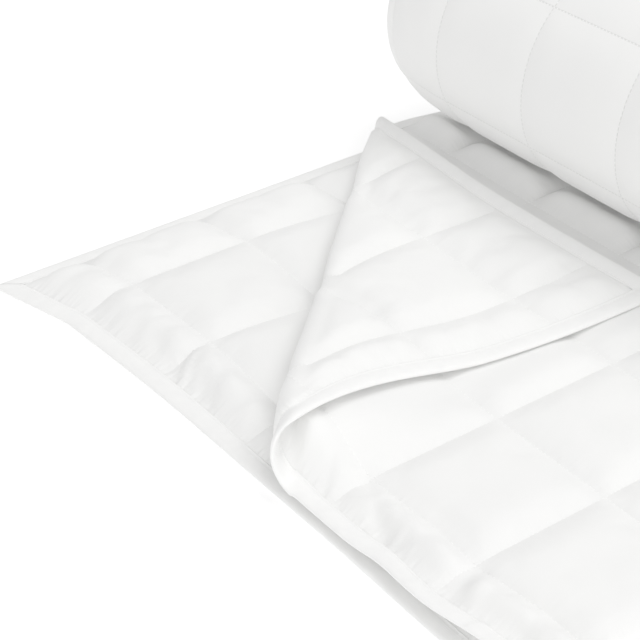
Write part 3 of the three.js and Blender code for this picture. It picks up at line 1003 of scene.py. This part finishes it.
def cotton_percale():
    """Bleached cotton percale, a tight plain weave of matt yarn, pressed smooth over soft fill.

    It looks plain white with a faint grain, soft dents where the fill is thin, a slight sheen at a low
    angle, and fine gathers along its seams. Where the roll draws it taut, grey shade is painted down its
    seams."""
    material, tree, shader = new_material("cotton_percale", COTTON)
    flat = flat_millimetres(tree)
    dents = add_node(
        tree,
        "ShaderNodeTexNoise",
        {"noise_dimensions": "2D", "Scale": 1 / PERCALE_SLACK, "Detail": 3.0, "Roughness": 0.5},
        {"Vector": flat},
    )
    slack = dents.outputs["Fac"]
    furrow_and_shade = needle_line(tree, flat)
    heights = [
        (weave_height(tree, flat, PERCALE_THREAD), PERCALE_GRAIN),
        (furrow_and_shade, -NEEDLE_DEPTH),
        (slack, PERCALE_DENT),
        (gather_height(tree, flat, "gather_across", (GATHER_PITCH, GATHER_LENGTH)), 1.0),
        (gather_height(tree, flat, "gather_along", (GATHER_LENGTH, GATHER_PITCH)), 1.0),
    ]
    relief = {"Strength": 1.0, "Distance": MM}
    bump = add_node(tree, "ShaderNodeBump", relief, {"Height": summed(tree, heights)})
    patches = add_node(
        tree,
        "ShaderNodeTexNoise",
        {"noise_dimensions": "2D", "Scale": 1 / PERCALE_TONE, "Detail": 2.0, "Roughness": 0.5},
        {"Vector": flat},
    )
    tone = add_node(
        tree,
        "ShaderNodeMix",
        {"data_type": "RGBA", 6: linear("#e9e9e8"), 7: linear("#eeeeec")},
        {0: patches.outputs["Fac"]},
    )
    # painted shade: the seam lines turn grey where the cover is drawn taut, in place of shadow in the
    # needle holes
    painted_furrow_shade = add_node(
        tree,
        "ShaderNodeMix",
        {"data_type": "RGBA", 7: linear("#d6d6d4")},
        {0: furrow_and_shade, 6: tone.outputs[2]},
    )
    rough = add_node(tree, "ShaderNodeMapRange", {"To Min": 0.82, "To Max": 0.92}, {"Value": slack})
    tree.links.new(painted_furrow_shade.outputs[2], shader.inputs["Base Color"])
    tree.links.new(rough.outputs[0], shader.inputs["Roughness"])
    tree.links.new(bump.outputs[0], shader.inputs["Normal"])
    return material


def bias_tape():
    """Bias-cut cotton tape: the same plain weave, its yarn at 45 degrees to the edge.

    It is a little denser and smoother than the shell, so the edge reads as a clean brighter line."""
    material, tree, shader = new_material("bias_cut_cotton_tape", COTTON)
    flat = flat_millimetres(tree)
    bias = add_node(tree, "ShaderNodeMapping", {"Rotation": (0, 0, math.radians(45))}, {"Vector": flat})
    dents = add_node(
        tree,
        "ShaderNodeTexNoise",
        {"noise_dimensions": "2D", "Scale": 1 / TAPE_PULL, "Detail": 2.0, "Roughness": 0.5},
        {"Vector": flat},
    )
    pull = dents.outputs["Fac"]
    heights = [
        (weave_height(tree, bias.outputs[0], TAPE_THREAD), TAPE_GRAIN),
        (pull, TAPE_DENT),
    ]
    relief = {"Strength": 1.0, "Distance": MM}
    bump = add_node(tree, "ShaderNodeBump", relief, {"Height": summed(tree, heights)})
    tone = add_node(
        tree,
        "ShaderNodeMix",
        {"data_type": "RGBA", 6: linear("#ebebea"), 7: linear("#f2f2f0")},
        {0: pull},
    )
    rough = add_node(tree, "ShaderNodeMapRange", {"To Min": 0.78, "To Max": 0.88}, {"Value": pull})
    tree.links.new(tone.outputs[2], shader.inputs["Base Color"])
    tree.links.new(rough.outputs[0], shader.inputs["Roughness"])
    tree.links.new(bump.outputs[0], shader.inputs["Normal"])
    return material


def spun_thread():
    """Spun cotton sewing thread, twisted and a little glossier than the cloth.

    Each stitch catches the light along its back and is grey where it dives into the cloth."""
    material, tree, shader = new_material("spun_cotton_thread", {"Sheen Weight": 0.1})
    place = add_node(tree, "ShaderNodeTexCoord")
    fibre = add_node(
        tree,
        "ShaderNodeTexNoise",
        {"Scale": 1 / (THREAD_TWIST * MM), "Detail": 2.0},
        {"Vector": place.outputs["Object"]},
    )
    twist = fibre.outputs["Fac"]
    relief = {"Strength": 0.5, "Distance": THREAD_FIBRE * MM}
    bump = add_node(tree, "ShaderNodeBump", relief, {"Height": twist})
    tone = add_node(
        tree,
        "ShaderNodeMix",
        {"data_type": "RGBA", 6: linear("#f6f6f4"), 7: linear("#fefefd")},
        {0: twist},
    )
    rough = add_node(tree, "ShaderNodeMapRange", {"To Min": 0.55, "To Max": 0.7}, {"Value": twist})
    tree.links.new(tone.outputs[2], shader.inputs["Base Color"])
    tree.links.new(rough.outputs[0], shader.inputs["Roughness"])
    tree.links.new(bump.outputs[0], shader.inputs["Normal"])
    return material


def build_stage():
    """A white floor that stays white under the duvet's soft shadow."""
    bm = bmesh.new()
    bmesh.ops.create_grid(bm, x_segments=1, y_segments=1, size=FLOOR_HALF)
    bmesh.ops.translate(bm, vec=(0, 0, -FLOOR_GAP * MM), verts=bm.verts)
    mesh = bpy.data.meshes.new("floor")
    bm.to_mesh(mesh)
    bm.free()
    white = {
        "Base Color": linear("#f8f8f8"),
        "Roughness": 1.0,
        "Emission Color": linear("#ffffff"),
        "Emission Strength": 0.3,
    }
    mesh.materials.append(new_material("matt_white_floor", white)[0])
    floor = bpy.data.objects.new("floor", mesh)
    bpy.context.scene.collection.objects.link(floor)


def build_light():
    """A white room, brighter on one side, and softboxes that face the middle of the duvet."""
    world = bpy.data.worlds.new("soft_white_room")
    world.use_nodes = True
    tree = world.node_tree
    background = tree.nodes["Background"]
    background.inputs["Color"].default_value = linear("#ffffff")
    direction = add_node(tree, "ShaderNodeTexCoord")
    facing = add_node(
        tree,
        "ShaderNodeVectorMath",
        {"operation": "DOT_PRODUCT", 1: ROOM_BRIGHT_SIDE},
        {0: direction.outputs["Generated"]},
    )
    walls = add_node(
        tree,
        "ShaderNodeMapRange",
        {"From Min": -1.0, "To Min": ROOM_LIGHT[0], "To Max": ROOM_LIGHT[1]},
        {"Value": facing.outputs["Value"]},
    )
    tree.links.new(walls.outputs[0], background.inputs["Strength"])
    scene = bpy.context.scene
    scene.world = world
    scene.view_settings.view_transform = "Standard"
    scene.view_settings.gamma = SHADOW_LIFT
    for name, azimuth, elevation, distance, power in SOFTBOXES:
        lamp = bpy.data.lights.new(name, "AREA")
        lamp.shape = "SQUARE"
        lamp.size = SOFTBOX_SIZE * distance
        lamp.energy = power
        softbox = bpy.data.objects.new(name, lamp)
        turn = Matrix.Rotation(math.radians(azimuth), 4, "Z")
        tilt = Matrix.Rotation(math.radians(90 - elevation), 4, "X")
        back = Matrix.Translation((0, 0, distance))
        softbox.matrix_world = turn @ tilt @ back
        scene.collection.objects.link(softbox)


def build_camera():
    lens = bpy.data.cameras.new("photo_camera")
    lens.lens = LENS
    camera = bpy.data.objects.new("photo_camera", lens)
    eye = (np.array(EYE) + TO_FRAME) * MM
    turn = Matrix.Rotation(LOOK_AZIMUTH, 4, "Z")
    tilt = Matrix.Rotation(math.pi / 2 - LOOK_ELEVATION, 4, "X")
    roll = Matrix.Rotation(LOOK_ROLL, 4, "Z")
    camera.matrix_world = Matrix.Translation(eye) @ turn @ tilt @ roll
    bpy.context.scene.collection.objects.link(camera)
    bpy.context.scene.camera = camera


PANEL = swollen_panel()
build_body(cotton_percale())
build_binding(bias_tape())
thread = spun_thread()
build_quilting_thread(thread)
build_binding_thread(thread)
build_stage()
build_light()
build_camera()
